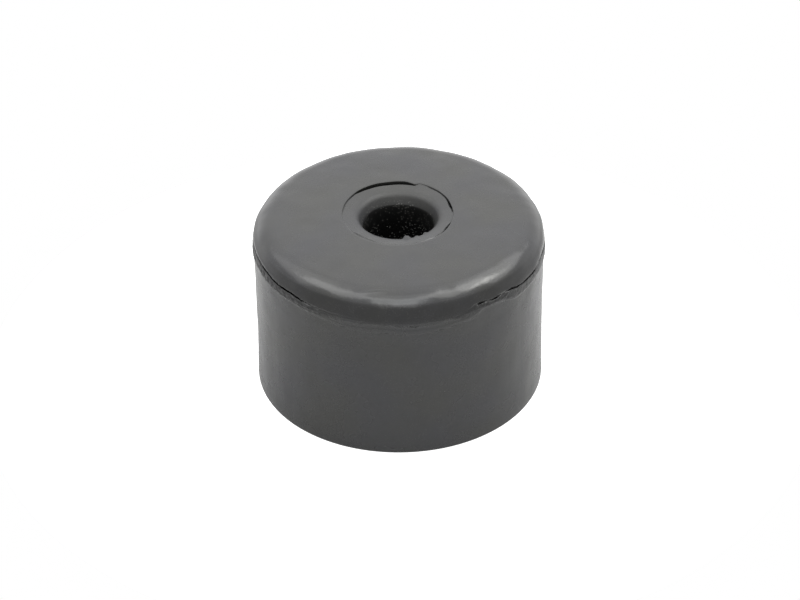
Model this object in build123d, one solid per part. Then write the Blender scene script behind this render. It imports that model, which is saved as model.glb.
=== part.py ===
from build123d import *
import math
import os

# A screw-on rubber foot for a bench or desk, moulded in one piece of hard black rubber.
# All lengths are in millimetres. The origin is at the centre of the flat mounting face, and +Z
# runs up the axis of the screw to the tread, which is the face that stands on the floor in use.
# -Y is the front of the foot.

# The body, from the mounting face up to the parting line of the mould
height = 25.0
base_diameter = 38.3
base_edge_bevel = 0.25
wall_draw_in = 0.13

# The lip, which the other half of the mould leaves a little proud of the side
lip_diameter = 38.6
lip_overhang = 0.2
lip_depth = 4.2
lip_draft = 8.5

# The shoulder and the tread, which falls very slightly from its middle to the shoulder
shoulder_radius = 3.3
tread_fall = 0.6

# The passage of the screw: a wide bore for its head, a seat and a hole for its shank
head_bore_diameter = 9.4
screw_web = 9.0
screw_hole_diameter = 5.0
screw_exit_bevel = 0.4

# The mouth of the bore, which the root of the mould's core pin widens into a short taper
mouth_depth = 1.8
mouth_taper = 25.0
mouth_edge_round = 0.5

# The collar round the mouth, which is the mark of the pin's shoulder and falls towards the mouth
collar_width = 2.5
collar_sink = 0.12
collar_fall = 0.23
seam_width = 0.2
seam_depth = 0.22

# The gap where the collar's edge has drawn in from the seam, seen from above as a sickle
gap_width = 0.6
gap_depth = 0.6
gap_span = 67.0
gap_heading = 106.0

# Radii and levels that follow from the sizes above
base_radius = base_diameter / 2
lip_radius = lip_diameter / 2
head_bore_radius = head_bore_diameter / 2
screw_hole_radius = screw_hole_diameter / 2
parting_level = height - lip_depth
collar_level = height - collar_sink
collar_radius = head_bore_radius + collar_width
mouth_level = collar_level - collar_fall
taper_level = height - mouth_depth
mouth_radius = head_bore_radius + (mouth_level - taper_level) * math.tan(math.radians(mouth_taper))
seam_outer_radius = collar_radius + seam_width


def side_wall():
    """The side from the mounting face to the parting line, drawn in slightly at mid height."""
    top_radius = lip_radius - lip_overhang
    waist_radius = (base_radius + top_radius) / 2 - wall_draw_in
    return ThreePointArc((base_radius, 0), (waist_radius, parting_level / 2), (top_radius, parting_level))


def vertex_at(section, point):
    """The corner of a flat section that lies at a point."""
    return section.vertices().sort_by_distance(point)[0]


def half_section():
    """Half of the foot's section, drawn with X as the radius and Y as the height."""
    wall = side_wall()
    lip_edge = (lip_radius, parting_level)
    corner_level = height - tread_fall
    corner_radius = lip_radius - (corner_level - parting_level) * math.tan(math.radians(lip_draft))
    shoulder_corner = (corner_radius, corner_level)
    tread_edge = (seam_outer_radius, height)
    seam_bottom = (collar_radius + seam_width / 2, collar_level - seam_depth)
    collar_edge = (collar_radius, collar_level)
    mouth_corner = (mouth_radius, mouth_level)
    taper_end = (head_bore_radius, taper_level)
    seat_corner = (head_bore_radius, screw_web)
    seat_edge = (screw_hole_radius, screw_web)
    exit_corner = (screw_hole_radius, 0)
    base_corner = (base_radius, 0)

    outline = [
        Line(exit_corner, base_corner),
        wall,
        Polyline(wall @ 1, lip_edge, shoulder_corner, tread_edge),
        Polyline(tread_edge, seam_bottom, collar_edge, mouth_corner, taper_end),
        Polyline(taper_end, seat_corner, seat_edge, exit_corner),
    ]
    section = make_face(Curve() + outline)

    for corner, radius in [(shoulder_corner, shoulder_radius), (mouth_corner, mouth_edge_round)]:
        section = fillet(vertex_at(section, corner), radius)
    for corner, length in [(base_corner, base_edge_bevel), (exit_corner, screw_exit_bevel)]:
        section = chamfer(vertex_at(section, corner), length)
    return section


def sickle_gap():
    """The crescent between the seam's circle and the flatter edge of the collar inside it."""
    half_span = math.radians(gap_span / 2)
    half_chord = seam_outer_radius * math.sin(half_span)
    chord_distance = seam_outer_radius * math.cos(half_span)
    edge_rise = seam_outer_radius - gap_width - chord_distance
    edge_radius = (half_chord**2 + edge_rise**2) / (2 * edge_rise)
    collar_side = Pos(chord_distance + edge_rise - edge_radius, 0) * Circle(edge_radius)
    crescent = Rot(Z=gap_heading) * (Circle(seam_outer_radius) - collar_side)
    return Pos(Z=height - gap_depth) * extrude(crescent, gap_depth)


def rubber_foot():
    """The foot: its section turned about the screw's axis, less the sickle gap."""
    turned = revolve(Plane.XZ * half_section(), Axis.Z)
    return turned - sickle_gap()


foot = rubber_foot()
foot.label = "rubber_foot"

os.makedirs("parts", exist_ok=True)
export_step(foot, os.path.join("parts", "rubber_foot.step"))
print("rubber_foot", foot.is_valid, len(foot.solids()), round(foot.volume, 2))
print("size", foot.bounding_box().size)
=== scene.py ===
# %% [markdown]
# A rubber foot for the underside of a bench or a desk. The real thing is one moulding of hard black
# rubber, so this lesson makes one closed mesh. A section is turned about the axis of the screw, the
# faults of the mould are pushed into it, and one material gives it its skin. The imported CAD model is
# the frame that everything is measured from, and the mesh stands for it in the picture.

# %% Load the frame
import math
from collections import namedtuple

import bpy
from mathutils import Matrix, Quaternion, Vector


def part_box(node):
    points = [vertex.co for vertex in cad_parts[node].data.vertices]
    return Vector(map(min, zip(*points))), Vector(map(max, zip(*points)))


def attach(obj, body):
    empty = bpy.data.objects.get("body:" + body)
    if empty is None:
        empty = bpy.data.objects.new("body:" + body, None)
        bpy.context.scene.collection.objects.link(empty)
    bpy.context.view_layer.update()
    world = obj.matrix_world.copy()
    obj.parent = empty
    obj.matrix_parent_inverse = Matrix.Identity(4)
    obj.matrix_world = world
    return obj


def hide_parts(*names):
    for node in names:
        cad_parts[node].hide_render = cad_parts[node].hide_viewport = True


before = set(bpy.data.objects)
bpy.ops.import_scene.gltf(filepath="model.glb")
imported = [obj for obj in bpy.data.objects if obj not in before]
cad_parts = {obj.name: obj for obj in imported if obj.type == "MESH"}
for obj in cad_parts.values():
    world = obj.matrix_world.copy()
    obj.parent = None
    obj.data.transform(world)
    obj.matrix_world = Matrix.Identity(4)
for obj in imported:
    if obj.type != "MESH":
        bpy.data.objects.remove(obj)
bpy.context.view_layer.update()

foot_low, foot_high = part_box("rubber_foot")
print("CAD box in mm:", [round(side * 1000, 2) for side in foot_high - foot_low])

# %% [markdown]
# The section is what a draughtsman would draw: the corners of half of the foot, each with the radius
# that rounds it. The overall sizes are read from the frame, so the picture can't drift from the CAD
# model. The rest are the sizes of the mould. All of them are in millimetres, and one factor turns
# them into Blender's metres.

# %% The sizes of the section
MM = 0.001
height = foot_high.z / MM
lip_radius = (foot_high.x - foot_low.x) / 2 / MM

lip_depth = 4.2
lip_overhang = 0.2
lip_draft = math.radians(8.5)
shoulder_round = 3.3
tread_fall = 0.6
waist_inset = 0.31
base_inset = 0.15
base_round = 0.5

head_bore_radius = 4.7
seat_level = 9.0
screw_hole_radius = 2.5
screw_exit_bevel = 0.4
mouth_depth = 1.8
mouth_taper = math.radians(25)
mouth_round = 1.0
mouth_sink = 0.35
collar_radius = 7.2
collar_sink = 0.12
seam_width = 0.2

parting_level = height - lip_depth
wall_radius = lip_radius - lip_overhang
print("lip radius", round(lip_radius, 2), "mm, parting line", round(parting_level, 2), "mm up")

# %% [markdown]
# Each corner also carries a few weights from 0 to 1. They say which of the mould's faults acts there.
# Along the parting line, toe is the edge of the side below it, line moves with it, and flash is the
# torn rubber that squeezed out. Above it, rise moves with the crack and groove is its bottom. Round
# the mouth, rim, cave, pit and collar are the four sides of the seam's little ditch, from the tread
# inwards. Between two corners a weight changes evenly, so the faults fade out on their own.

# %% The corners, from the screw hole out to the side, over the tread and down the bore
WEIGHTS = ("toe", "line", "flash", "rise", "groove", "rim", "cave", "pit", "collar")
Corner = namedtuple("Corner", ("radius", "level", "rounding", "steps", "spacing") + WEIGHTS,
                    defaults=(0,) * len(WEIGHTS))

flash_height = 0.5
groove_width = 0.36
crack_level = parting_level + flash_height
groove_level = crack_level + groove_width / 2
band_level = crack_level + groove_width
shoulder_level = height - tread_fall
collar_level = height - collar_sink
mouth_level = height - mouth_sink
taper_level = height - mouth_depth
mouth_radius = head_bore_radius + (mouth_level - taper_level) * math.tan(mouth_taper)

finer_strip = 3.2
lip_edge_rise = 0.08
side_bow = 400
tread_bow = 60
tread_middle = (collar_radius + wall_radius) / 2
tread_middle_fall = 0.15


def band_radius(level):
    """The drafted face of the lip, which leans in as it rises."""
    return lip_radius - (level - parting_level) * math.tan(lip_draft)


# radius, level, radius of the rounding, steps in it, length of a face in the run that follows
section = [
    Corner(screw_hole_radius, screw_exit_bevel, 0, 1, 1.0),
    Corner(screw_hole_radius + screw_exit_bevel, 0, 0, 1, 5.0),
    Corner(lip_radius - base_inset, 0, base_round, 5, 1.3),
    Corner(lip_radius - waist_inset, parting_level / 2, side_bow, 3, 1.3),
    Corner(wall_radius, parting_level - finer_strip, 0, 1, 0.3),
    Corner(wall_radius, parting_level, 0.1, 2, 0.06, line=1, toe=1),
    Corner(lip_radius, parting_level + lip_edge_rise, 0.1, 3, 0.035, line=1, flash=1),
    Corner(band_radius(crack_level), crack_level, 0, 1, 0.05, flash=1, rise=1),
    Corner(band_radius(groove_level), groove_level, 0, 1, 0.05, rise=1, groove=1),
    Corner(band_radius(band_level), band_level, 0, 1, 0.05, rise=1),
    Corner(band_radius(shoulder_level), shoulder_level, shoulder_round, 24, 0.4),
    Corner(tread_middle, height - tread_middle_fall, tread_bow, 6, 0.4),
    Corner(collar_radius + seam_width, height, 0.02, 2, 0.06, rim=1),
    Corner(collar_radius + seam_width * 0.95, height - 0.05, 0, 1, 0.07, rim=1),
    Corner(collar_radius + seam_width * 0.7, height - 0.09, 0.01, 1, 0.07, cave=1),
    Corner(collar_radius + seam_width * 0.3, collar_level, 0.02, 1, 0.07, pit=1),
    Corner(collar_radius, collar_level, 0.1, 3, 0.12, collar=1),
    Corner(mouth_radius, mouth_level, mouth_round, 11, 0.15),
    Corner(head_bore_radius, taper_level, 0.5, 4, 1.0),
    Corner(head_bore_radius, seat_level, 0.3, 2, 1.2),
    Corner(screw_hole_radius, seat_level, 0.1, 1, 4.0),
]
print("the section has", len(section), "corners")

# %% [markdown]
# The corners go into a mesh that is only a loop of edges, and each number that a corner carries
# becomes a named attribute. Geometry Nodes read the attributes later, so the tree holds no list of
# sizes, and another foot needs only other corners.

# %% The loop of edges
def section_loop(name, corners):
    """A closed loop in the XY plane: X is the radius and Y the height."""
    mesh = bpy.data.meshes.new(name)
    points = [(corner.radius * MM, corner.level * MM, 0) for corner in corners]
    edges = [(i, (i + 1) % len(corners)) for i in range(len(corners))]
    mesh.from_pydata(points, edges, [])
    for field, unit in [("rounding", MM), ("spacing", MM)] + [(weight, 1) for weight in WEIGHTS]:
        layer = mesh.attributes.new(field, "FLOAT", "POINT")
        layer.data.foreach_set("value", [getattr(corner, field) * unit for corner in corners])
    steps = mesh.attributes.new("steps", "INT", "POINT")
    steps.data.foreach_set("value", [corner.steps for corner in corners])
    return mesh


foot = bpy.data.objects.new("moulded_foot", section_loop("moulded_foot", section))
bpy.context.scene.collection.objects.link(foot)
print("the loop carries", ", ".join(WEIGHTS))

# %% [markdown]
# A node tree is easier to read when each node is one line. The helpers below make a node, fill its
# sockets with numbers or links, and give back the socket that comes out of it. The same ones serve
# the geometry, the rubber and the room.

# %% Helpers that make one node
def node(tree, kind, inputs=None, **settings):
    """Adds a node. Each input is a plain value or a socket to link."""
    made = tree.nodes.new(kind)
    for key, value in settings.items():
        setattr(made, key, value)
    for key, value in (inputs or {}).items():
        if isinstance(value, bpy.types.NodeSocket):
            tree.links.new(value, made.inputs[key])
        else:
            made.inputs[key].default_value = value
    return made


def do_math(tree, operation, *values, clamp=False):
    """A Math node on one, two or three values."""
    inputs = dict(enumerate(values))
    return node(tree, "ShaderNodeMath", inputs, operation=operation, use_clamp=clamp).outputs[0]


def do_vector(tree, operation, *values, output=0):
    """A Vector Math node. Its answer is a vector, or a number from the output of that name."""
    inputs = dict(enumerate(values))
    return node(tree, "ShaderNodeVectorMath", inputs, operation=operation).outputs[output]


def scaled(tree, vector, factor):
    """A vector times a number."""
    inputs = {0: vector, "Scale": factor}
    return node(tree, "ShaderNodeVectorMath", inputs, operation="SCALE").outputs[0]


def remap(tree, value, low, high, start=0.0, end=1.0, way="SMOOTHSTEP"):
    """Goes from start to end as the value goes from low to high."""
    inputs = {"Value": value, "From Min": low, "From Max": high, "To Min": start, "To Max": end}
    return node(tree, "ShaderNodeMapRange", inputs, interpolation_type=way).outputs[0]


def noise(tree, vector, size, seed, detail=2.0):
    """Noise from about -1 to 1, with lumps of a given size in the unit of the vector."""
    inputs = {"Vector": vector, "W": seed, "Scale": 1 / size, "Detail": detail}
    raw = node(tree, "ShaderNodeTexNoise", inputs, noise_dimensions="4D").outputs[0]
    return do_math(tree, "MULTIPLY_ADD", raw, 4.0, -2.0)


def attribute(tree, name, kind="FLOAT"):
    """A number that the mesh carries under a name."""
    if tree.type == "GEOMETRY":
        return node(tree, "GeometryNodeInputNamedAttribute", {"Name": name}, data_type=kind).outputs[0]
    return node(tree, "ShaderNodeAttribute", attribute_name=name, attribute_type="GEOMETRY").outputs["Fac"]


def new_socket(tree, name, kind, way="INPUT"):
    """A named socket on the outside of a tree or a group."""
    return tree.interface.new_socket(name=name, in_out=way, socket_type=kind)


# %% Helpers made of several nodes
def chain(tree, operation, values):
    """One Math node after another, from the first value to the last."""
    total = values[0]
    for value in values[1:]:
        total = do_math(tree, operation, total, value)
    return total


def times(tree, *values):
    """The product of the values."""
    return chain(tree, "MULTIPLY", values)


def add(tree, *values):
    """The sum of the values."""
    return chain(tree, "ADD", values)


def flattened(tree, position):
    """A position without its height."""
    return do_vector(tree, "MULTIPLY", position, (1, 1, 0))


def from_axis(tree, position):
    """The distance of a position from the axis of the screw."""
    return do_vector(tree, "LENGTH", flattened(tree, position), output="Value")


def level_of(tree, position):
    """The height of a position."""
    return node(tree, "ShaderNodeSeparateXYZ", {0: position}).outputs["Z"]


def upward(tree, rise):
    """A vector that only goes up."""
    return node(tree, "ShaderNodeCombineXYZ", {"Z": rise}).outputs[0]


# %% [markdown]
# Turning is a sweep: the section is the profile and a circle round the axis is the path. Spin or a
# Screw modifier would do it too, but they know nothing of weights. Before the sweep, Fillet Curve
# rounds every corner by its own radius, and Subdivide Curve cuts each straight run into pieces of the
# length that its corner asks for, short beside the parting line and long on the plain side. A closed
# profile on a closed path leaves no seam and no pole. The sweep comes out upside down with its faces
# outward, so half a turn about X puts it on its feet. Fillet Curve leaves two points on one spot
# where a run is already straight, and Merge by Distance joins such pairs.

# %% The group that turns a section
def turning_group():
    """Sweeps a rounded and subdivided section round the Z axis."""
    tree = bpy.data.node_groups.new("turn_section", "GeometryNodeTree")
    new_socket(tree, "Section", "NodeSocketGeometry")
    new_socket(tree, "Segments", "NodeSocketInt")
    new_socket(tree, "Path Radius", "NodeSocketFloat")
    new_socket(tree, "Turned", "NodeSocketGeometry", "OUTPUT")
    given = node(tree, "NodeGroupInput").outputs

    curve = node(tree, "GeometryNodeMeshToCurve", {"Mesh": given["Section"]}).outputs[0]
    rounds = {"Curve": curve, "Count": attribute(tree, "steps", "INT"),
              "Radius": attribute(tree, "rounding"), "Limit Radius": True}
    rounded = node(tree, "GeometryNodeFilletCurve", rounds, mode="POLY").outputs[0]

    here = node(tree, "GeometryNodeInputPosition").outputs[0]
    following = node(tree, "GeometryNodeOffsetPointInCurve", {"Offset": 1}).outputs["Point Index"]
    found = {"Value": here, "Index": following}
    there = node(tree, "GeometryNodeFieldAtIndex", found, data_type="FLOAT_VECTOR").outputs[0]
    run = do_vector(tree, "DISTANCE", here, there, output="Value")
    cuts = do_math(tree, "FLOOR", do_math(tree, "DIVIDE", run, attribute(tree, "spacing")))
    cut = node(tree, "GeometryNodeSubdivideCurve", {"Curve": rounded, "Cuts": cuts}).outputs[0]

    back = node(tree, "ShaderNodeCombineXYZ", {"X": do_math(tree, "MULTIPLY", given["Path Radius"], -1)})
    moved = {"Geometry": cut, "Translation": back.outputs[0]}
    profile = node(tree, "GeometryNodeTransform", moved).outputs[0]
    circle = {"Resolution": given["Segments"], "Radius": given["Path Radius"]}
    path = node(tree, "GeometryNodeCurvePrimitiveCircle", circle, mode="RADIUS").outputs[0]
    swept = node(tree, "GeometryNodeCurveToMesh", {"Curve": path, "Profile Curve": profile}).outputs[0]
    half_turn = {"Geometry": swept, "Rotation": (math.pi, 0, 0)}
    stood = node(tree, "GeometryNodeTransform", half_turn).outputs[0]
    pairs = {"Geometry": stood, "Distance": 0.001 * MM}
    joined = node(tree, "GeometryNodeMergeByDistance", pairs).outputs[0]
    tree.links.new(joined, node(tree, "NodeGroupOutput").inputs["Turned"])
    return tree


turn_section = turning_group()
print("turning group:", len(turn_section.nodes), "nodes")

# %% [markdown]
# The faults of this foot aren't the same all the way round. The parting line climbs and drops again
# on the right, the crack above it gapes on the left, and the ring round the mouth has torn open at
# the back. A Float Curve over the heading holds such a story in a few points. The heading is the
# angle from the front of the foot, in degrees, and grows to the right.

# %% Values that change with the heading
def heading_of(tree, position, zero=0.0):
    """The heading of a point, measured from another heading."""
    turn = {"Vector": position, "Angle": math.radians(-zero)}
    axes = node(tree, "ShaderNodeVectorRotate", turn, rotation_type="Z_AXIS").outputs[0]
    split = node(tree, "ShaderNodeSeparateXYZ", {0: axes}).outputs
    angle = do_math(tree, "ARCTAN2", split["X"], do_math(tree, "MULTIPLY", split["Y"], -1))
    return do_math(tree, "DEGREES", angle)


def story(tree, heading, points, handle="AUTO"):
    """A curve through (heading, value) points, with sharp corners where the handles are VECTOR."""
    low = min(value for _, value in points)
    high = max(value for _, value in points)
    curve = node(tree, "ShaderNodeFloatCurve", {"Value": remap(tree, heading, -180, 180, way="LINEAR")})
    dots = curve.mapping.curves[0].points
    places = [(0.5 + turn / 360, (value - low) / (high - low)) for turn, value in points]
    dots[0].location = places[0]
    dots[1].location = places[-1]
    for place in places[1:-1]:
        dots.new(*place)
    for dot in dots:
        dot.handle_type = handle
    curve.mapping.update()
    return do_math(tree, "MULTIPLY_ADD", curve.outputs[0], high - low, low)


# %% [markdown]
# The two halves of the mould met 4 mm below the tread, and the rubber that squeezed out between them
# was torn off by hand. So the edge wanders up and down, the flash on it is ragged, and above it the
# rubber has split into a thin crack with a jagged edge. All of it could be a bump map, but the crack
# throws a real shadow and the edge shows in the outline, so it is pushed into the mesh. The crack's
# colour is also darkened, a painted shade on top of its real shadow.

# %% The stories of the parting line and the crack above it, as (heading, millimetres)
line_lift = [(-180, -0.5), (-100, -0.5), (-84, -0.5), (-72, -0.35), (-62, -0.45), (-54, -0.45),
             (-46, -0.3), (-32, -0.2), (-23, -0.35), (-15, -0.3), (-8, -0.2), (0, -0.35), (8, -0.45),
             (15, -0.3), (29, 0.05), (34, 0.2), (42, 0), (48, -0.6), (57, -1.0), (64, -1.0),
             (70, -0.95), (80, -0.95), (100, -0.7), (180, -0.5)]
toe_drop = [(-180, 0.2), (-85, 0.1), (-66, 0.1), (-50, 0.2), (-40, 0.5), (-28, 0.8), (0, 1.2),
            (25, 1), (31, 0.8), (36, 0.25), (60, 0.2), (84, 0.1), (180, 0.2)]
crack_lift = [(-180, -0.3), (-84, 0.35), (-62, 0.25), (-54, 0.06), (-50, 0.1), (-41, -0.1),
              (-34, -0.2), (-20, -0.35), (-8, -0.25), (1, -0.45), (9, -0.5), (20, -0.3), (28, 0),
              (32, 0.35), (39, 0.1), (44, 0.2), (51, -0.15), (58, -0.35), (64, -0.4), (71, -0.2),
              (78, -0.1), (100, -0.2), (180, -0.3)]
crack_depth = [(-180, 0.05), (-105, 0.1), (-85, 0.3), (-72, 0.3), (-66, 0.45), (-57, 0.5),
               (-54, 0.75), (-45, 0.7), (-41, 0.35), (-37, 0.08), (-25, 0.02), (0, 0), (24, 0),
               (31, 0.05), (33, 0.35), (36, 0.05), (40, 0.35), (44, 0.05), (50, 0.4), (57, 0.25),
               (62, 0.4), (70, 0.2), (85, 0.25), (105, 0.1), (180, 0.05)]

# %% The story of the torn flash, as (heading, share)
flash_swell = [(-180, 0.3), (-90, 0.6), (-66, 1), (-40, 1), (-28, 0.5), (-15, 0.05), (10, 0.03),
               (20, 0.2), (32, 0.8), (46, 0.7), (60, 0.6), (90, 0.5), (180, 0.3)]
print("points in the stories of the parting line:",
      sum(len(points) for points in (line_lift, toe_drop, crack_lift, crack_depth, flash_swell)))

# %% The faults along the parting line
Faults = namedtuple("Faults", "out up dark")

torn_lump = 0.4
toe_splay = 0.13
crack_slant = 0.5
# Painted shade: how strongly the crack's depth darkens its colour.
crack_darkening = -1.2
shoulder_fade = 1.2
outer_skin = (12, 14)


def parting_faults(tree, given, position, heading):
    """How far the faults push a point out from the axis and up, and how much painted shade they give its
    colour.

    The crack's edges move along the draft of the lip, and the skin over them goes along and fades
    out up the shoulder, because a skin that stopped short would fold over itself.
    """
    level = level_of(tree, position)
    rag = times(tree, noise(tree, position, torn_lump, given["Seed"], detail=3.0), given["Line Rag"])
    wander = times(tree, story(tree, heading, line_lift), given["Line Lift"])
    lift = times(tree, add(tree, wander, rag), attribute(tree, "line"))
    toe = times(tree, story(tree, heading, toe_drop), given["Toe Drop"], attribute(tree, "toe"))

    over_crack = times(tree, remap(tree, level, band_level - 0.02, band_level),
                       remap(tree, level, band_level, band_level + shoulder_fade, 1, 0),
                       remap(tree, from_axis(tree, position), *outer_skin))
    lifted = do_math(tree, "MAXIMUM", attribute(tree, "rise"), over_crack)
    climb = times(tree, story(tree, heading, crack_lift), given["Crack Lift"], lifted)
    rise = add(tree, climb, times(tree, rag, attribute(tree, "rise")))
    leaning = times(tree, rise, -math.tan(lip_draft))
    deep = times(tree, story(tree, heading, crack_depth), given["Crack Depth"])
    crack = times(tree, deep, attribute(tree, "groove"), -1)

    swell = times(tree, story(tree, heading, flash_swell), given["Flash Relief"])
    risen = do_vector(tree, "ADD", position, upward(tree, add(tree, lift, rise)))
    lumps = noise(tree, risen, torn_lump, given["Seed"], detail=4.0)
    flash = times(tree, lumps, times(tree, swell, attribute(tree, "flash")))
    # The dark share becomes a painted shade in the colour of the crack.
    return Faults(out=(leaning, times(tree, toe, toe_splay), crack, flash),
                  up=(lift, times(tree, toe, -1), rise, times(tree, crack, crack_slant)),
                  dark=(times(tree, crack, crack_darkening),))


# %% [markdown]
# The collar round the mouth is the mark of the shoulder on the mould's core pin, and a hair seam goes
# round it. At the back left the collar has shrunk away from the seam and left a gap, seen from above
# as a sickle with a sharp tip. A Boolean could cut it, but the seam's own points are already there to
# be moved, so the faces stay even. The gap's stories are counted from its own middle and not from the
# front. It is black in the photograph, so it is deep and its far wall is hollowed out, and hardly any
# light finds its way back. The colour of the gap and the seam is darkened as well, a painted shade on
# top of the real one.

# %% The stories of the seam and the gap
seam_depth = [(-180, 0.3), (-130, 0.2), (-115, 0.12), (-95, 0.05), (-80, 0), (-62, 0), (-50, 0.3),
              (-40, 0.35), (-30, 0.25), (0, 0.2), (30, 0.2), (42, 0.3), (50, 0.45), (66, 0.4),
              (75, 0.08), (85, 0.02), (94, 0.1), (103, 0.35), (112, 0.35), (125, 0.2), (146, 0.15),
              (151, 0.04), (162, 0.02), (174, 0.2), (180, 0.3)]
seam_shift = [(-180, 0.28), (-150, 0.28), (-120, 0.1), (-95, 0), (45, 0), (66, -0.12), (90, -0.2),
              (115, -0.12), (140, 0.08), (160, 0.22), (180, 0.28)]
gap_heading = -164.0
gap_width = [(-180, 0.06), (-155, 0.06), (-147, 0.18), (-130, 0.18), (-124, 0), (-99, 0),
             (-92, 0.14), (-85, 0.12), (-77, 0), (-38, 0), (-34, 0.46), (-22, 0.46), (0, 0.46),
             (16, 0.4), (27, 0.22), (34, 0), (108, 0), (116, 0.22), (132, 0.22), (140, 0.06),
             (180, 0.06)]
gap_tail = [(-180, 0), (-38, 0), (-34, 0.42), (-22.5, 0), (180, 0)]
print("points in the stories of the ring:",
      sum(len(points) for points in (seam_depth, seam_shift, gap_width, gap_tail)))

# %% The faults of the ring round the mouth
fully_open = 0.25
seam_darkening = -0.4


def ring_faults(tree, given, position, heading):
    """The seam that wanders round the collar, and the gap where the collar has shrunk from it."""
    from_gap = heading_of(tree, position, gap_heading)
    gap = times(tree, story(tree, from_gap, gap_width, "VECTOR"), given["Gap Width"])
    tail = times(tree, story(tree, from_gap, gap_tail, "VECTOR"), given["Gap Width"])
    opening = remap(tree, do_math(tree, "SUBTRACT", gap, tail), 0.0, fully_open)
    rim, cave, pit, collar = [attribute(tree, name) for name in ("rim", "cave", "pit", "collar")]
    bottom = add(tree, cave, pit)

    shifted = times(tree, story(tree, heading, seam_shift), add(tree, rim, cave, pit, collar))
    far_side = times(tree, tail, add(tree, rim, cave))
    near_side = times(tree, gap, add(tree, pit, collar))
    drawn_in = times(tree, add(tree, far_side, near_side), -1)
    hollowed = times(tree, opening, given["Gap Undercut"], cave)
    seam = times(tree, story(tree, heading, seam_depth), given["Seam Depth"], bottom, -1)
    gap_floor = times(tree, opening, given["Gap Depth"], bottom, -1)
    # The dark shares become a painted shade in the colour of the gap and the seam.
    return Faults(out=(shifted, drawn_in, hollowed), up=(seam, gap_floor),
                  dark=(times(tree, opening, bottom), times(tree, seam, seam_darkening)))


# %% [markdown]
# A crumb of torn rubber, a dent or a crease is a small push: every point near its centre moves by the
# same vector, less and less towards its edge. As a group it is used again and again, and its size is
# a vector, so a push may be long and narrow. Four of them raise the crumbs at the front of the mouth,
# and the last is the soft crease in the tread.

# %% The group that pushes a small patch
full_push_share = 0.25


def pushing_group():
    """Adds a soft push to an offset, all in millimetres."""
    tree = bpy.data.node_groups.new("push_patch", "GeometryNodeTree")
    for name in ("Offset", "Position", "Centre", "Size", "Push"):
        new_socket(tree, name, "NodeSocketVector")
    new_socket(tree, "Offset", "NodeSocketVector", "OUTPUT")
    given = node(tree, "NodeGroupInput").outputs
    away = do_vector(tree, "SUBTRACT", given["Position"], given["Centre"])
    share = do_vector(tree, "DIVIDE", away, given["Size"])
    distance = do_vector(tree, "LENGTH", share, output="Value")
    pushed = scaled(tree, given["Push"], remap(tree, distance, full_push_share, 1.0, 1.0, 0.0))
    total = do_vector(tree, "ADD", given["Offset"], pushed)
    tree.links.new(total, node(tree, "NodeGroupOutput").inputs["Offset"])
    return tree


push_patch = pushing_group()

Push = namedtuple("Push", "centre size push")
pushes = [
    Push((1.05, -5.4, 24.52), (0.65, 0.5, 0.5), (0.0, 0.22, 0.28)),
    Push((0.8, -5.4, 24.6), (0.35, 0.35, 0.35), (0.0, 0.05, 0.08)),
    Push((2.3, -5.0, 24.5), (0.45, 0.4, 0.4), (-0.03, 0.06, 0.1)),
    Push((3.45, -4.27, 24.5), (0.4, 0.4, 0.4), (-0.07, 0.08, 0.13)),
    Push((-3.0, -16.95, 23.9), (2.8, 0.3, 2.0), (0.0, 0.0, 0.12)),
]
print("pushes:", len(pushes))

# %% [markdown]
# The whole foot is one tree. It turns the section, adds up how far the faults, the slow waves of the
# skin and the pushes move each point, and moves the points once. Then it holds them inside the radius
# and the height of the CAD model. Everything is counted in millimetres, and the sizes of the faults
# are inputs with names, so a cleaner or a rougher moulding needs no new node. Two numbers are stored
# for the material: one for the painted shade that darkens the colour in the crack, the seam and the
# gap, and torn, for the flash.

# %% The tree of the foot
SIZES = ("Path Radius", "Line Lift", "Line Rag", "Toe Drop", "Crack Lift", "Crack Depth",
         "Flash Relief", "Seam Depth", "Gap Width", "Gap Depth", "Gap Undercut", "Skin Wave",
         "Widest", "Highest", "Seed")
wave_length = 4.0
wave_on_side = (0.2, 1.5)
wave_on_tread = (20.5, 24.5)


def held_inside(tree, given, placed):
    """A position held within the widest radius and the highest level."""
    shrink = do_math(tree, "DIVIDE", given["Widest"], from_axis(tree, placed))
    flat = scaled(tree, flattened(tree, placed), do_math(tree, "MINIMUM", shrink, 1.0))
    top = do_math(tree, "MINIMUM", level_of(tree, placed), given["Highest"])
    return do_vector(tree, "ADD", flat, upward(tree, top))


def moved_points(tree, given, position, parting, ring):
    """Where each point goes, from the faults, the waves of the skin and the small pushes."""
    level = level_of(tree, position)
    waves = add(tree, noise(tree, position, wave_length, given["Seed"], detail=1.0), -0.5)
    wave = times(tree, waves, given["Skin Wave"])
    out = add(tree, *parting.out, *ring.out, times(tree, wave, remap(tree, level, *wave_on_side)))
    up = add(tree, *parting.up, *ring.up, times(tree, wave, remap(tree, level, *wave_on_tread)))
    outward = do_vector(tree, "NORMALIZE", flattened(tree, position))
    offset = do_vector(tree, "ADD", scaled(tree, outward, out), upward(tree, up))
    for patch in pushes:
        inputs = {"Offset": offset, "Position": position, "Centre": patch.centre,
                  "Size": patch.size, "Push": patch.push}
        offset = node(tree, "GeometryNodeGroup", inputs, node_tree=push_patch).outputs["Offset"]
    return held_inside(tree, given, do_vector(tree, "ADD", position, offset))


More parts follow.
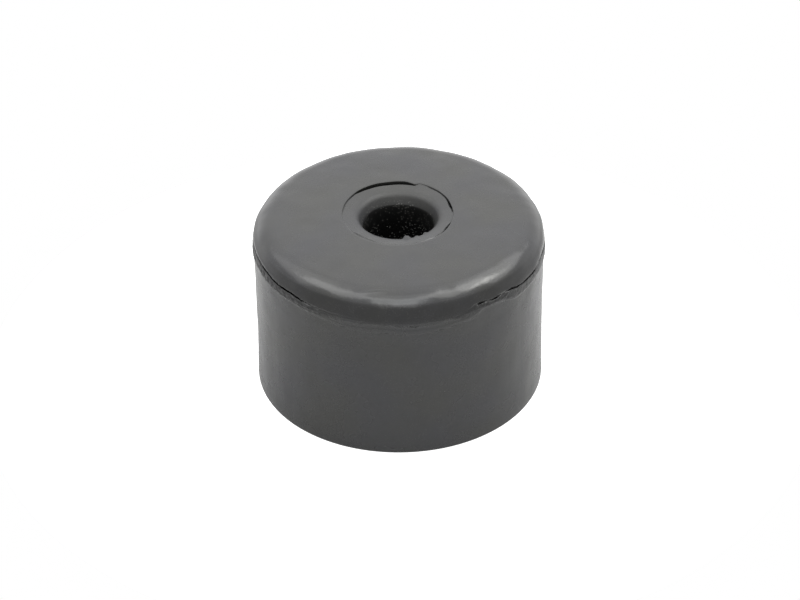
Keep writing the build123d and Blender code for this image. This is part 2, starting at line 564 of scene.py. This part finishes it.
def foot_tree():
    """Turns the section and gives it the faults of its mould."""
    tree = bpy.data.node_groups.new("moulded_foot", "GeometryNodeTree")
    new_socket(tree, "Section", "NodeSocketGeometry")
    new_socket(tree, "Segments", "NodeSocketInt")
    for name in SIZES:
        new_socket(tree, name, "NodeSocketFloat")
    new_socket(tree, "Rubber", "NodeSocketMaterial")
    new_socket(tree, "Foot", "NodeSocketGeometry", "OUTPUT")
    given = node(tree, "NodeGroupInput").outputs

    turn = {name: given[name] for name in ("Section", "Segments", "Path Radius")}
    turned = node(tree, "GeometryNodeGroup", turn, node_tree=turn_section).outputs["Turned"]
    position = scaled(tree, node(tree, "GeometryNodeInputPosition").outputs[0], 1 / MM)
    heading = heading_of(tree, position)
    parting = parting_faults(tree, given, position, heading)
    ring = ring_faults(tree, given, position, heading)

    # Painted shade, stored for the colour of the crack, the seam and the gap.
    hidden = do_math(tree, "ADD", add(tree, *parting.dark, *ring.dark), 0.0, clamp=True)
    torn = times(tree, story(tree, heading, flash_swell), attribute(tree, "flash"))
    for name, value in (("hidden", hidden), ("torn", torn)):
        marks = {"Geometry": turned, "Name": name, "Value": value}
        turned = node(tree, "GeometryNodeStoreNamedAttribute", marks,
                      data_type="FLOAT", domain="POINT").outputs[0]

    placed = scaled(tree, moved_points(tree, given, position, parting, ring), MM)
    shaped = node(tree, "GeometryNodeSetPosition", {"Geometry": turned, "Position": placed}).outputs[0]
    smoothing = {"Geometry": shaped, "Shade Smooth": True}
    smooth = node(tree, "GeometryNodeSetShadeSmooth", smoothing).outputs[0]
    real = node(tree, "GeometryNodeRealizeInstances", {"Geometry": smooth}).outputs[0]
    coat = {"Geometry": real, "Material": given["Rubber"]}
    finish = node(tree, "GeometryNodeSetMaterial", coat).outputs[0]
    tree.links.new(finish, node(tree, "NodeGroupOutput").inputs["Foot"])
    return tree


foot_nodes = foot_tree()
print("foot tree:", len(foot_nodes.nodes), "nodes")

# %% [markdown]
# Hard rubber is a very dark skin that is neither shiny nor dull. Three things make its look. A thin
# bloom lies on it like a grey breath, full on the tread and the side. The roughness changes from
# patch to patch, and a fine grain with drag marks breaks up the highlights. On the lip the colour is
# painted down to half, a painted shade for the dark band under the shoulder's highlight.
# The skin isn't the same everywhere, so the first cell below makes masks from 0 to 1 for its parts:
# the lip, whose colour takes a painted shade, the polished shoulder, the bore, the rim of its mouth,
# the torn flash, and the painted shade that darkens the colour down the bore and in the crack, the
# seam and the gap. They read the height, the radius and the two numbers that the tree stored, and a
# fade is the pair of levels or radii between which a mask comes in or goes out. Dust lies in the
# bore, in crumbs of a tenth of a millimetre.

# %% Where each kind of skin is
Masks = namedtuple("Masks", "lip polished bore hidden mouth flash dust")

outside_fade = (8, 10)
# The lip's fades bound the painted shade of its dark band, which stops just under the ridge.
lip_fade_in = (parting_level - 0.6, parting_level + 0.6)
lip_fade_out = (23.05, 23.35)
polish_fade_in = (parting_level, parting_level + 1)
polish_fade_out = (24.1, 24.6)
bore_fade = (22.3, 24.5)
mouth_fade = (5.2, 6.5)
torn_fade = (0.2, 0.6)
ridge_wobble = 0.05
# How far the painted shade darkens the colour down the bore and in the crack, the seam and the gap.
bore_darkness = 0.85
crack_darkness = 0.95
dust_spacing = 0.3
dust_size = 0.1
dusty_wall_fade = (4.72, 5.0)


def specks(tree, place, spacing, size, share):
    """Round specks, at most one in each cell, in a share of the cells."""
    grid = {"Vector": place, "Scale": 1 / spacing, "Randomness": 1.0}
    cells = node(tree, "ShaderNodeTexVoronoi", grid).outputs
    pick = node(tree, "ShaderNodeSeparateColor", {0: cells["Color"]}).outputs[0]
    chosen = do_math(tree, "LESS_THAN", pick, share)
    spot = remap(tree, cells["Distance"], size * 0.5 / spacing, size / spacing, 1, 0)
    return do_math(tree, "MULTIPLY", spot, chosen)


def skin_masks(tree, place):
    """The masks of the skin, from a place in millimetres."""
    radius, level = from_axis(tree, place), level_of(tree, place)
    outside = remap(tree, radius, *outside_fade)
    inside = do_math(tree, "SUBTRACT", 1, outside)
    ridge = do_math(tree, "MULTIPLY_ADD", noise(tree, place, 3.0, seed=7.0), ridge_wobble, level)
    # The lip mask places the painted shade of the dark band under the shoulder's highlight.
    lip = times(tree, remap(tree, level, *lip_fade_in),
                remap(tree, ridge, *lip_fade_out, 1, 0), outside)
    polished = times(tree, remap(tree, level, *polish_fade_in),
                     remap(tree, ridge, *polish_fade_out, 1, 0), outside)
    bore = times(tree, remap(tree, level, *bore_fade, 1, 0), inside)
    mouth = times(tree, remap(tree, radius, *mouth_fade, 1, 0), do_math(tree, "SUBTRACT", 1, bore))

    # Painted shade: the colour darkens down the bore and goes nearly black in the crack, the seam and the
    # gap.
    in_crack = remap(tree, attribute(tree, "hidden"), 0.0, 0.25, 0.0, crack_darkness, "LINEAR")
    hidden = do_math(tree, "MAXIMUM", times(tree, bore, bore_darkness), in_crack)
    flash = remap(tree, attribute(tree, "torn"), *torn_fade)
    crowd = remap(tree, noise(tree, place, 2.5, seed=9.0, detail=1.0), -0.5, 0.5, 0.15, 1.0)
    dust = times(tree, specks(tree, place, dust_spacing, dust_size, crowd),
                 remap(tree, radius, *dusty_wall_fade, 1.0, 0.1))
    return Masks(lip, polished, bore, hidden, mouth, flash, dust)


# %% [markdown]
# The colour drifts between a warm and a cool near-black, as an uneven bloom does. The roughness
# starts from one satin value, and each kind of skin adds or takes its share. The relief is only what
# is too fine for the mesh: grain of a third of a millimetre, drag marks down the side where the foot
# was pulled from the mould, and the crumbled surface of the flash.

# %% The rubber
warm_black = (0.0180, 0.0180, 0.0165, 1)
cool_black = (0.0165, 0.0168, 0.0188, 1)
dust_grey = (0.075, 0.075, 0.07, 1)
patch_size = 8.0
mottle_size = 1.6
mottle_share = 0.12
# The share of its colour that the lip keeps under its painted shade.
lip_painted_shade_share = 0.5
crumb_size = 0.3
flash_shade = 0.55
plain_roughness = 0.27
grain_size = 0.35
drag_width = 0.6
drag_stretch = (1, 1, 0.05)
crumb_relief = 8.0
relief_depth = 0.003


def mixed(tree, mask, start, end):
    """A colour that goes from start to end with a mask."""
    return node(tree, "ShaderNodeMix", {0: mask, 6: start, 7: end}, data_type="RGBA").outputs[2]


def rubber_colour(tree, place, masks, crumbs):
    """Near-black and thinly bloomed, with painted shade on the lip, in the bore, the crack, the seam and
    the gap, and dust on top.
    """
    patches = remap(tree, noise(tree, place, patch_size, seed=2.0), -0.8, 0.8)
    tint = mixed(tree, patches, warm_black, cool_black)
    # Painted shade: the colour of the lip is cut to half.
    painted_lip_shade = remap(tree, masks.lip, 0, 1, 1.0, lip_painted_shade_share, "LINEAR")
    mottle = noise(tree, place, mottle_size, seed=5.0, detail=3.0)
    tone_and_painted_shade = do_math(tree, "MULTIPLY_ADD", mottle, mottle_share, painted_lip_shade)
    crumbled = do_math(tree, "MULTIPLY_ADD", crumbs, 0.6, tone_and_painted_shade, clamp=True)
    bare = times(tree, crumbled, remap(tree, masks.flash, 0, 1, 1, flash_shade, "LINEAR"))
    # Painted shade: the colour is cut down the bore and in the crack, the seam and the gap.
    skin = scaled(tree, tint, times(tree, bare, do_math(tree, "SUBTRACT", 1, masks.hidden)))
    return mixed(tree, masks.dust, skin, dust_grey)


def rubber_roughness(tree, place, masks):
    """Satin, smoother on the shoulder and dry in the mouth and on the flash."""
    rough = do_math(tree, "MULTIPLY_ADD", noise(tree, place, 3.0, seed=8.0), 0.02, plain_roughness)
    upper_bore = remap(tree, level_of(tree, place), 19.0, 23.0, 0.0, 0.2)
    changes = ((masks.polished, -0.08), (masks.hidden, -0.07), (masks.mouth, 0.3),
               (masks.bore, upper_bore), (masks.flash, 0.12))
    for mask, change in changes:
        rough = do_math(tree, "MULTIPLY_ADD", mask, change, rough)
    return rough


def rubber_relief(tree, place, crumbs):
    """Grain, drag marks down the side, and the crumbled flash."""
    grain = noise(tree, place, grain_size, seed=11.0, detail=3.0)
    on_side = remap(tree, level_of(tree, place), parting_level - 2, parting_level, 1, 0)
    drawn_out = do_vector(tree, "MULTIPLY", place, drag_stretch)
    drag = times(tree, noise(tree, drawn_out, drag_width, seed=3.0), on_side)
    relief = do_math(tree, "MULTIPLY_ADD", crumbs, crumb_relief, add(tree, drag, grain))
    bump = {"Height": relief, "Distance": relief_depth * MM, "Strength": 1.0}
    return node(tree, "ShaderNodeBump", bump).outputs["Normal"]


def rubber_material(name):
    """Dark moulded rubber, thinly bloomed, with painted shade, grain, drag marks and a little dust."""
    material = bpy.data.materials.new(name)
    material.use_nodes = True
    tree = material.node_tree
    shader = tree.nodes["Principled BSDF"]
    place = scaled(tree, node(tree, "ShaderNodeTexCoord").outputs["Object"], 1 / MM)
    masks = skin_masks(tree, place)
    crumbs = times(tree, noise(tree, place, crumb_size, seed=6.0, detail=3.0), masks.flash)
    tree.links.new(rubber_colour(tree, place, masks, crumbs), shader.inputs["Base Color"])
    tree.links.new(rubber_roughness(tree, place, masks), shader.inputs["Roughness"])
    tree.links.new(rubber_relief(tree, place, crumbs), shader.inputs["Normal"])
    shader.inputs["IOR"].default_value = 1.5
    return material


rubber = rubber_material("moulded_rubber")
print("rubber:", len(rubber.node_tree.nodes), "nodes")

# %% [markdown]
# A modifier keeps the tree's inputs under the identifiers of their sockets, so each value is set by
# its identifier, before the foot is first evaluated. The evaluated object is then turned into a plain
# mesh. The modifier goes, and the piece is only its mesh, with its place in it.

# %% Make the foot
settings = {
    "Segments": 500,
    "Path Radius": 10 * MM,
    "Line Lift": 1.0,
    "Line Rag": 0.1,
    "Toe Drop": 1.0,
    "Crack Lift": 1.0,
    "Crack Depth": 1.0,
    "Flash Relief": 0.12,
    "Seam Depth": 1.0,
    "Gap Width": 1.0,
    "Gap Depth": 1.8,
    "Gap Undercut": 0.8,
    "Skin Wave": 0.045,
    "Widest": lip_radius,
    "Highest": height,
    "Seed": 4.0,
    "Rubber": rubber,
}
foot.data.materials.append(rubber)
modifier = foot.modifiers.new("moulding", "NODES")
modifier.node_group = foot_nodes
for item in foot_nodes.interface.items_tree:
    if item.in_out == "INPUT" and item.name in settings:
        modifier[item.identifier] = settings[item.name]

plain = bpy.data.meshes.new_from_object(foot.evaluated_get(bpy.context.evaluated_depsgraph_get()))
foot.modifiers.remove(modifier)
foot.data = plain
for name in ("rounding", "spacing", "steps"):
    plain.attributes.remove(plain.attributes[name])
print("foot:", len(plain.vertices), "points,", 2 * len(plain.polygons), "triangles")
print("materials:", [slot.name for slot in plain.materials])

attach(foot, "root")
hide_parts("rubber_foot")

# %% [markdown]
# The photograph is a cut-out on pure white, yet the skin still shows what the foot stood on: a pale
# table close by, which the side mirrors, and a dimmer room beyond it, which darkens the lip. So the
# floor is a round pale board that two rays see in two ways. The camera sees plain white, and every
# other ray sees a board that is lit like any other thing and lies in the foot's own shade. The board
# ends 56 mm out, because a wider one would light the lip from below.

# %% The floor
board_radius = 56
board_gap = 0.02
board_grey = 0.48


def round_board(name, radius, sides=96):
    """A flat round board, a hair below the foot."""
    turns = [2 * math.pi * side / sides for side in range(sides)]
    rim = [(radius * math.cos(turn), radius * math.sin(turn), -board_gap * MM) for turn in turns]
    mesh = bpy.data.meshes.new(name)
    mesh.from_pydata(rim, [], [tuple(range(sides))])
    made = bpy.data.objects.new(name, mesh)
    bpy.context.scene.collection.objects.link(made)
    return made


def board_material(name):
    """A matt grey board that glows plain white for the camera only."""
    material = bpy.data.materials.new(name)
    material.use_nodes = True
    tree = material.node_tree
    inputs = tree.nodes["Principled BSDF"].inputs
    inputs["Base Color"].default_value = (board_grey, board_grey, board_grey, 1)
    inputs["Roughness"].default_value = 0.9
    inputs["Specular IOR Level"].default_value = 0.0
    inputs["Emission Color"].default_value = (1, 1, 1, 1)
    seen = node(tree, "ShaderNodeLightPath").outputs["Is Camera Ray"]
    tree.links.new(seen, inputs["Emission Strength"])
    return material


floor = round_board("floor", board_radius * MM)
floor.data.materials.append(board_material("pale_board"))
print("floor:", board_radius, "mm in radius")

# %% [markdown]
# The light is a studio's: a room that is pale overhead and dim at the height of the table, and soft
# boxes round it. The three in front draw the ridge along the shoulder and the sheen of the tread, and
# the dim room below them leaves the lip dark, together with a painted shade in the lip's colour. The
# two on the right brighten that end of the ridge, the one on the left gives its fainter twin, and a
# box close by on each side lights the wall of the foot. Each box is placed by its heading and
# elevation, and sized and lit as the foot sees it.

# %% The room and the softboxes
cool_light = (0.96, 0.99, 1.0)
warm_light = (1.0, 1.0, 0.96)


def direction(heading, elevation):
    """A unit vector from the foot. The heading is counted from the front, both are in degrees."""
    turn, lift = math.radians(heading), math.radians(elevation)
    return Vector((math.sin(turn) * math.cos(lift), -math.cos(turn) * math.cos(lift), math.sin(lift)))


def steepness(elevation):
    """The upward part of a unit vector at an elevation in degrees."""
    return direction(0, elevation).z


def room_world(name, dim, pale, overhead, back):
    """A room that grows brighter with height and towards its back wall, plain white to the camera."""
    world = bpy.data.worlds.new(name)
    world.use_nodes = True
    tree = world.node_tree
    tree.nodes.clear()
    ray = node(tree, "ShaderNodeTexCoord").outputs["Generated"]
    up = level_of(tree, ray)
    walls = remap(tree, up, steepness(20), steepness(50), dim, pale)
    ceiling = remap(tree, up, steepness(50), steepness(80), 0, overhead)
    to_back = do_vector(tree, "DOT_PRODUCT", ray, direction(180, 10), output="Value")
    on_table = remap(tree, up, steepness(-18), steepness(-5))
    back_wall = times(tree, remap(tree, to_back, -0.5, 1.0, 0, back), on_table)
    light = add(tree, walls, ceiling, back_wall)
    seen = node(tree, "ShaderNodeLightPath").outputs["Is Camera Ray"]
    shown = {"Color": (1, 1, 1, 1), "Strength": do_math(tree, "MAXIMUM", light, seen)}
    background = node(tree, "ShaderNodeBackground", shown)
    tree.links.new(background.outputs[0], node(tree, "ShaderNodeOutputWorld").inputs["Surface"])
    return world


def softbox(name, heading, elevation, spread, glow, tint=(1, 1, 1), distance=0.6):
    """An area light that faces the foot. The spread is its width and height in degrees as the foot
    sees it, glow is its radiance, and the distance is in metres."""
    width, tall = [2 * distance * math.tan(math.radians(angle / 2)) for angle in spread]
    data = bpy.data.lights.new(name, "AREA")
    data.shape = "RECTANGLE"
    data.size, data.size_y = width, tall
    data.energy = glow * math.pi * width * tall
    data.color = tint
    made = bpy.data.objects.new(name, data)
    way = direction(heading, elevation)
    made.location = Vector((0, 0, height / 2 * MM)) + way * distance
    made.rotation_euler = way.to_track_quat("Z", "Y").to_euler()
    bpy.context.scene.collection.objects.link(made)
    return made


bpy.context.scene.world = room_world("studio", dim=0.85, pale=1.4, overhead=0.5, back=0.63)
softboxes = [
    softbox("front_softbox", 0, 52, (30, 25), 2.9, cool_light),
    softbox("front_high_softbox", 0, 72, (40, 20), 0.8),
    softbox("front_low_softbox", 0, 36, (22, 18), 1.4),
    softbox("right_softbox", 72, 60, (40, 24), 2.4, warm_light),
    softbox("right_bright_softbox", 88, 48, (24, 14), 5.5, warm_light),
    softbox("right_close_softbox", 100, 50, (40, 40), 1.9, distance=0.15),
    softbox("left_softbox", -72, 57, (42, 22), 2.5),
    softbox("left_close_softbox", -100, 50, (40, 40), 0.9, distance=0.15),
]
bpy.context.scene.view_settings.view_transform = "Standard"
print("softboxes:", len(softboxes))

# %% [markdown]
# The camera looks down at the foot from 39 cm away, with a long lens. It was found by fitting the
# outline of the foot, and it has a very small roll.

# %% The camera
look_elevation = math.radians(35.136)
look_roll = math.radians(0.604)
camera_distance = 392.0
aim_right = 0.082
aim_up = 11.065
target = Vector((aim_right * MM, 0, aim_up * MM))
back = Vector((0, -math.cos(look_elevation), math.sin(look_elevation)))

camera_data = bpy.data.cameras.new("camera")
camera_data.lens = 132.26
camera_data.sensor_width = 36.0
camera_data.clip_end = 20
camera = bpy.data.objects.new("camera", camera_data)
camera.location = target + back * camera_distance * MM
level_view = (-back).to_track_quat("-Z", "Y")
camera.rotation_mode = "QUATERNION"
camera.rotation_quaternion = level_view @ Quaternion((0, 0, 1), -look_roll)
bpy.context.scene.collection.objects.link(camera)
bpy.context.scene.camera = camera
print("camera at", [round(place / MM) for place in camera.location], "mm")
